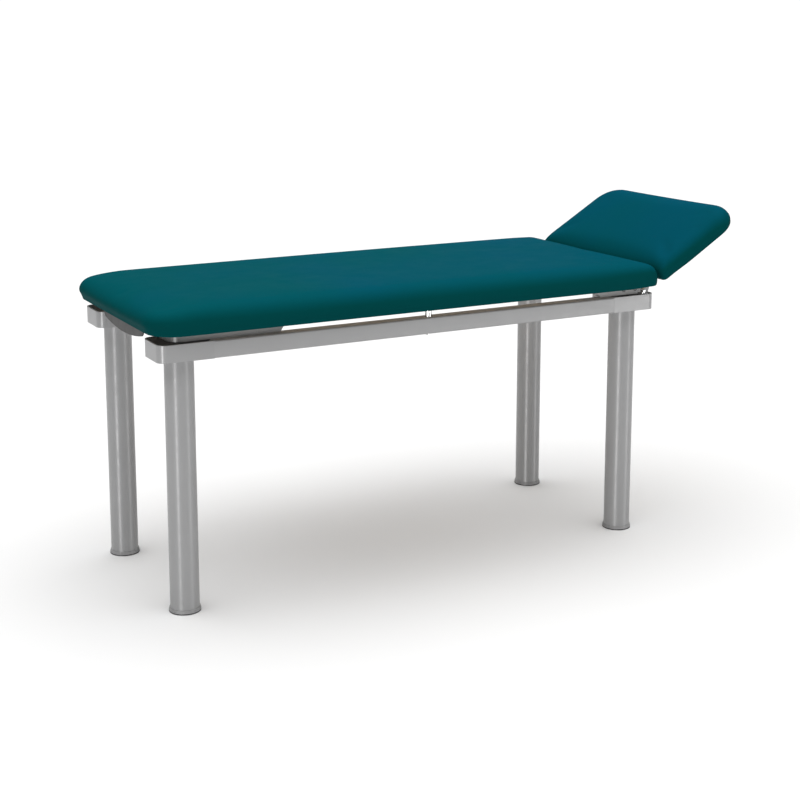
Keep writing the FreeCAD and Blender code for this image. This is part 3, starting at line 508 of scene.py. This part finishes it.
def relax(piece, base, rounds):
    """Evens out the free part of the shell a little."""
    bm = bmesh.new()
    bm.from_mesh(piece.data)
    free = [v for v in bm.verts if v.co.z > base + 14 * MM]
    for _ in range(rounds):
        bmesh.ops.smooth_vert(bm, verts=free, factor=0.5,
                              use_axis_x=True, use_axis_y=True, use_axis_z=True)
    bm.to_mesh(piece.data)
    bm.free()


def smooth_step(value, start, end):
    """Rises from 0 to 1 between two values, with a soft start and end."""
    share = min(1, max(0, (value - start) / (end - start)))
    return share * share * (3 - 2 * share)


def full_end(piece, outline, base, hinge_end, reach, dip):
    """Fills out the upper part of the end away from the hinge, so that its side leans in
    towards the hem, and lowers the top there."""
    end_x = outline.low_x if hinge_end > 0 else outline.high_x
    for vertex in piece.data.vertices:
        inside = (vertex.co.x - end_x) * hinge_end
        upper = smooth_step(vertex.co.z, base + 4 * MM, base + 34 * MM)
        vertex.co.x -= hinge_end * reach * smooth_step(inside, 160 * MM, 0) * upper
        vertex.co.z -= dip * smooth_step(inside, 130 * MM, 20 * MM) * upper


def corner_pleats(piece, outline, base):
    """Gathers in the hem below each rounded corner, and the faint folds that they start in the side."""
    gather = 1.6 * MM
    ripple = 0.35 * MM
    fold_width = 11 * MM
    fold_height = 40 * MM
    first_gather = 4 * MM
    for vertex in piece.data.vertices:
        x, y, z = vertex.co
        end = 0 if x < (outline.low_x + outline.high_x) / 2 else 1
        radius = outline.radii[end]
        centre_x = outline.low_x + radius if end == 0 else outline.high_x - radius
        dx = (centre_x - x) if end == 0 else (x - centre_x)
        dy = abs(y) - outline.half + radius
        if dx < 0 or dy < 0 or z > base + fold_height:
            continue
        angle = math.atan2(dy, dx) / (math.pi / 2)
        folds = max(2, round(radius / fold_width))
        window = math.sin(math.pi * min(1, max(0, angle)))
        wave = math.cos(2 * math.pi * folds * angle + (1.3 if y > 0 else 0.2)) * window
        depth = outline.depth(x, y)[0]
        if z < base + 1 * MM:
            share = min(1, max(0, (depth - first_gather) / (HEM - first_gather)))
            vertex.co.z -= gather * share * (0.5 + 0.5 * wave) * window
        else:
            share = 1 - min(1, (z - base) / fold_height)
            outward = Vector((-dx if end == 0 else dx, math.copysign(dy, y), 0)).normalized()
            vertex.co += outward * (ripple * share * wave)


def close_underside(piece, outline, pad):
    """Closes the shell: hem thickness, then a recess that holds the board, then its roof."""
    bm = bmesh.new()
    bm.from_mesh(piece.data)

    def extend(edges, place):
        """Adds a face from each edge to its new place, and gives the edges there."""
        partner = {}
        for vertex in [v for edge in edges for v in edge.verts]:
            if vertex not in partner:
                partner[vertex] = bm.verts.new(place(vertex.co))
        ends = [tuple(edge.verts) for edge in edges]
        for first, second in ends:
            bm.faces.new((first, second, partner[second], partner[first]))
        return [bm.edges.get((partner[first], partner[second])) for first, second in ends]

    gap = 0.15 * MM
    underboard = pad.board_bottom - gap
    wall_inset = pad.board_inset - 0.4 * MM

    def outwards(co):
        depth, inward = outline.depth(co.x, co.y)
        move = wall_inset - depth
        return Vector((co.x + inward[0] * move, co.y + inward[1] * move, underboard))

    edges = [e for e in bm.edges if e.is_boundary]
    edges = extend(edges, lambda co: Vector((co.x, co.y, underboard)))
    edges = extend(edges, outwards)
    edges = extend(edges, lambda co: Vector((co.x, co.y, pad.board_top + gap)))
    bmesh.ops.contextual_create(bm, geom=edges)
    bmesh.ops.recalc_face_normals(bm, faces=bm.faces)
    bm.to_mesh(piece.data)
    bm.free()


def subdivide(piece):
    """One Catmull-Clark subdivision, applied."""
    modifier = piece.modifiers.new("finer", "SUBSURF")
    modifier.levels = 1
    modifier.render_levels = 1
    modifier.boundary_smooth = "PRESERVE_CORNERS"
    depsgraph = bpy.context.evaluated_depsgraph_get()
    finer = bpy.data.meshes.new_from_object(piece.evaluated_get(depsgraph))
    piece.modifiers.clear()
    piece.data = finer


def cushion(pad, material, corners, cell, edge, swell, pressure, hinge_end, reach=0, dip=0):
    """One upholstered cushion in place of the CAD cover and foam.  The hinge end is 1 where the
    pad meets the hinge at its high end along X, and -1 at its low end."""
    crown = 1 * MM
    tuck = 1 * MM
    base = pad.low.z
    outline = Outline(pad, corners, cell)
    piece = cushion_shell(pad.prefix + "_cushion", outline, base, pad.high.z - base, edge, crown, tuck,
                          hinge_end)
    relax(piece, base, 3)
    inflate(piece, base, swell, pressure)
    relax(piece, base, 2)
    full_end(piece, outline, base, hinge_end, reach, dip)
    corner_pleats(piece, outline, base)
    subdivide(piece)
    close_underside(piece, outline, pad)
    piece.data.transform(pad.turn)
    for face in piece.data.polygons:
        face.use_smooth = True
    piece.data.set_sharp_from_angle(angle=math.radians(50))
    piece.data.materials.clear()
    piece.data.materials.append(material)
    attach(piece, pad.body)
    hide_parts(pad.prefix + "_cover", pad.prefix + "_foam")
    return outline


# ---------------------------------------------------------------- staples under the pads

def wire(bm, path, radius, sides=6):
    """A round wire along a few points."""
    rings = []
    for k, point in enumerate(path):
        ahead = path[min(k + 1, len(path) - 1)] - path[max(k - 1, 0)]
        turn = Vector((0, 0, 1)).rotation_difference(ahead.normalized())
        rings.append([bm.verts.new(point + turn @ Vector((radius * math.cos(a), radius * math.sin(a), 0)))
                      for a in (2 * math.pi * s / sides for s in range(sides))])
    for first, second in zip(rings, rings[1:]):
        for s in range(sides):
            bm.faces.new((first[s], first[(s + 1) % sides], second[(s + 1) % sides], second[s]))
    bm.faces.new(list(reversed(rings[0])))
    bm.faces.new(rings[-1])


def staples(pad, outline, spacing, blocked, material):
    """Upholstery staples through the hem, along straight stretches and round the corners."""
    half = 5 * MM
    prong = 1.0 * MM
    bend = 0.5 * MM
    up = Vector((0, 0, 1))
    bm = bmesh.new()
    draw = np.random.default_rng(7)
    rim = [Vector((*outline.point(outline.rows_x[i], outline.rows_y[j], STAPLE_INSET), 0))
           for i, j in outline.rim()]
    travelled = 0.0
    due = spacing / 2
    for first, second in zip(rim, rim[1:] + rim[:1]):
        step = (second - first).length
        while step > 1e-9 and due <= travelled + step:
            at = first.lerp(second, (due - travelled) / step)
            due += spacing * float(draw.uniform(0.85, 1.15))
            if blocked(at):
                continue
            along = (second - first).normalized()
            along.rotate(Quaternion((0, 0, 1), float(draw.normal(0, 0.12))))
            at.z = pad.low.z
            side_view = [(-half, prong), (-half, -0.15 * MM), (bend - half, -0.4 * MM),
                         (half - bend, -0.4 * MM), (half, -0.15 * MM), (half, prong)]
            wire(bm, [at + along * reach + up * rise for reach, rise in side_view], 0.5 * MM)
        travelled += step
    mesh = bpy.data.meshes.new(pad.prefix + "_staples")
    bmesh.ops.recalc_face_normals(bm, faces=bm.faces)
    bm.to_mesh(mesh)
    bm.free()
    mesh.transform(pad.turn)
    mesh.materials.append(material)
    piece = bpy.data.objects.new(pad.prefix + "_staples", mesh)
    bpy.context.scene.collection.objects.link(piece)
    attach(piece, pad.body)


# ---------------------------------------------------------------- stage

def floor():
    """A wide pale floor that takes the shadow."""
    half_width = 60
    bm = bmesh.new()
    bmesh.ops.create_grid(bm, x_segments=1, y_segments=1, size=half_width)
    mesh = bpy.data.meshes.new("floor")
    bm.to_mesh(mesh)
    bm.free()
    piece = bpy.data.objects.new("floor", mesh)
    bpy.context.scene.collection.objects.link(piece)
    look = Look("floor_white", (0.86, 0.86, 0.86), 0.95, specular=0.05)
    mesh.materials.append(look.material)


def world(light_level):
    """A plain bright surround: white behind the object, softer as a light."""
    made = bpy.data.worlds.new("surround")
    bpy.context.scene.world = made
    made.use_nodes = True
    tree = made.node_tree
    background = tree.nodes["Background"]
    background.inputs["Color"].default_value = (1, 1, 1, 1)
    path = tree.nodes.new("ShaderNodeLightPath")
    level = tree.nodes.new("ShaderNodeMapRange")
    level.inputs["To Min"].default_value = light_level
    level.inputs["To Max"].default_value = 1.05
    tree.links.new(path.outputs["Is Camera Ray"], level.inputs["Value"])
    tree.links.new(level.outputs[0], background.inputs["Strength"])


def overhead_light(strength, spread):
    """A broad light straight from above: soft shadows below the couch."""
    data = bpy.data.lights.new("overhead", "SUN")
    data.energy = strength
    data.angle = math.radians(spread)
    light = bpy.data.objects.new("overhead", data)
    light.rotation_euler = (0, 0, 0)
    bpy.context.scene.collection.objects.link(light)


def far_light(name, azimuth, rise, strength, spread):
    """A distant light that casts no shadow."""
    data = bpy.data.lights.new(name, "SUN")
    data.energy = strength
    data.angle = math.radians(spread)
    data.use_shadow = False
    light = bpy.data.objects.new(name, data)
    turn, lift = math.radians(azimuth), math.radians(rise)
    source = Vector((math.cos(turn) * math.cos(lift), math.sin(turn) * math.cos(lift), math.sin(lift)))
    light.rotation_euler = source.to_track_quat("Z", "Y").to_euler()
    light.visible_camera = False
    bpy.context.scene.collection.objects.link(light)
    return light


def glint(name, azimuth, strength):
    """A light seen only in gloss: the narrow highlights down the legs and block corners.
    It comes from a little below level, as a viewer above sees it in an upright surface."""
    light = far_light(name, azimuth, -14, strength, 4)
    light.visible_diffuse = False


def fill_light(name, azimuth, strength):
    """A weak even light on upright surfaces, so that the far legs aren't lost in the shade."""
    light = far_light(name, azimuth, 8, strength, 20)
    light.visible_glossy = False


def camera():
    """The standing viewer's place, off the foot end's front corner."""
    yaw = math.radians(28.33)
    pitch = math.radians(9.99)
    data = bpy.data.cameras.new("camera")
    data.lens = 68.25
    data.sensor_width = 36
    data.shift_y = -0.15
    piece = bpy.data.objects.new("camera", data)
    piece.location = (-2.1065, -3.7801, 1.5201)
    look = Vector((math.sin(yaw) * math.cos(pitch), math.cos(yaw) * math.cos(pitch), -math.sin(pitch)))
    piece.rotation_euler = look.to_track_quat("-Z", "Y").to_euler()
    bpy.context.scene.collection.objects.link(piece)
    bpy.context.scene.camera = piece


# ---------------------------------------------------------------- build

tilt_joint = [j for j in frame["joints"] if j["name"] == "headrest_tilt"][0]
pivot = Vector(tilt_joint["pos_m"])
main_pad = Pad("main", "frame", Vector((0, 0, 0)))
rest_pad = Pad("headrest", "headrest", pivot)
# Where the foot saddle's apron ends; the saddle finish paints the apron near-black as painted shade under
# the main pad.
apron_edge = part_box("foot_saddle")[0].x + 10 * MM
LOOKS = {
    "rail_paint": powder_coat("rail_coat", (0.352, 0.352, 0.355), 0.38),
    "block_paint": cast_coat("block_coat", (0.345, 0.345, 0.348), 0.33),
    "leg_paint": powder_coat("leg_coat", (0.35, 0.35, 0.353), 0.34, specular=0.26),
    # The second colour is painted shade for the apron under the main pad's foot end.
    "saddle_paint": saddle_coat_and_apron_shade("saddle_coat_and_apron_shade", (0.255, 0.265, 0.27), (0.02, 0.0195, 0.019),
                                apron_edge, 0.36),
    "lid_plastic": moulded_plastic("lid_black", (0.04, 0.04, 0.042), 0.5),
    "foot_plastic": moulded_plastic("foot_grey", (0.32, 0.32, 0.322), 0.5, rubber_below=3.5 * MM),
    "plug_plastic": moulded_plastic("plug_black", (0.04, 0.04, 0.041), 0.55),
    "zinc_steel": plated_steel("zinc_plate", (0.62, 0.62, 0.61), 0.34),
    "hinge_steel": plated_steel("hinge_zinc", (0.52, 0.52, 0.53), 0.40, (420, 420, 40)),
    "black_screw": moulded_plastic("black_oxide", (0.02, 0.02, 0.021), 0.35, 1500),
    "chrome_nut": chrome("polished_chrome", (0.86, 0.87, 0.88)),
}
vinyl = leatherette("teal_vinyl")
staple_steel = plated_steel("staple_wire", (0.55, 0.55, 0.54), 0.35)

for name, piece in nodes.items():
    for index, slot in enumerate(piece.material_slots):
        if slot.material.name in LOOKS:
            slot.material = LOOKS[slot.material.name]
nodes["main_board"].material_slots[0].material = plywood("main_ply", main_pad.up)
nodes["headrest_board"].material_slots[0].material = plywood("headrest_ply", rest_pad.up)

main_outline = cushion(main_pad, vinyl, corners=(75 * MM, 40 * MM), cell=9 * MM, edge=(30 * MM, 30 * MM),
                       swell=7 * MM, pressure=1, hinge_end=1, reach=10 * MM, dip=6 * MM)
rest_outline = cushion(rest_pad, vinyl, corners=(14 * MM, 90 * MM), cell=8 * MM, edge=(40 * MM, 32 * MM),
                       swell=6 * MM, pressure=1.2, hinge_end=-1)


def over_head_saddle(at):
    """Whether a place under the main pad is hidden by the head saddle."""
    low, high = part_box("head_saddle")
    margin = 8 * MM
    return low.x - margin < at.x < high.x + margin and low.y - margin < at.y < high.y + margin


staples(main_pad, main_outline, 34 * MM, over_head_saddle, staple_steel)
staples(rest_pad, rest_outline, 32 * MM, lambda at: False, staple_steel)

floor()
world(0.20)
overhead_light(3.3, 90)
glint("glint_front_left", 219, 1.8)
glint("glint_front_right", 312, 0.65)
fill_light("fill_front", 242, 0.3)
fill_light("fill_rear", 62, 0.3)
camera()

bpy.context.scene.view_settings.view_transform = "Standard"
